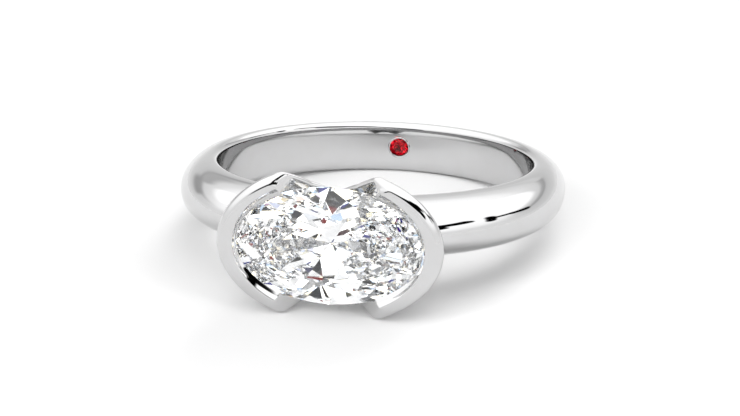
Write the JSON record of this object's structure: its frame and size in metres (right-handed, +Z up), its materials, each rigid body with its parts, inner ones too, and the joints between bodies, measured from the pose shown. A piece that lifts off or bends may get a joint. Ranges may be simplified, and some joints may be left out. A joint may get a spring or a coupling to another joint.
{
  "type": "oval engagement ring",
  "caption": "Polished white metal finger ring with half bezels that hold an oval brilliant across the finger and a small red accent stone inside the band.",
  "frame": {"origin": "on the surface the ring lies on, under the centre of its bounding box", "axes": "+Z up, +Y from the head to the back of the band, +X along the long axis of the oval stone; the finger hole's axis leans a little back from +Z"},
  "size_m": [0.0206, 0.0242, 0.007],
  "materials": {
    "white_metal": "mirror polish",
    "clear_stone": "polished facets",
    "red_stone": "polished facets"
  },
  "bodies": {
    "root": {"ring_body": "white_metal", "centre_stone": "clear_stone", "accent_stone": "red_stone"}
  },
  "joints": []
}
